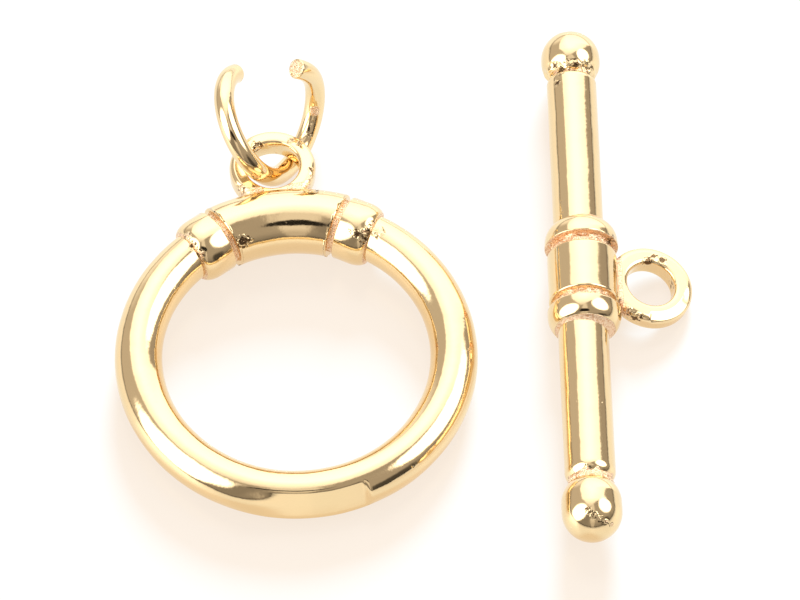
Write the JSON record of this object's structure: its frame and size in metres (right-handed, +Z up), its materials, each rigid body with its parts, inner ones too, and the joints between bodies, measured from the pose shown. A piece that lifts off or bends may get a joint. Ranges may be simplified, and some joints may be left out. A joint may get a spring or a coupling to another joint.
{
  "type": "toggle clasp",
  "caption": "Toggle clasp that closes a necklace or bracelet: a round ring with a soldered loop and open jump ring, and a loose bar with ball ends and its own loop",
  "frame": {"origin": "on the table under the middle of the whole clasp, both halves taken together", "axes": "+X from the ring half to the bar half, +Y along the bar and away from the viewer, +Z up from the table"},
  "size_m": [0.0256, 0.0264, 0.005],
  "materials": {
    "toggle_ring": "polished pale gold plating",
    "jump_ring": "polished pale gold plating",
    "toggle_bar": "polished pale gold plating"
  },
  "bodies": {
    "root": {"toggle_ring": "toggle_ring", "jump_ring": "jump_ring", "toggle_bar": "toggle_bar"}
  },
  "joints": []
}
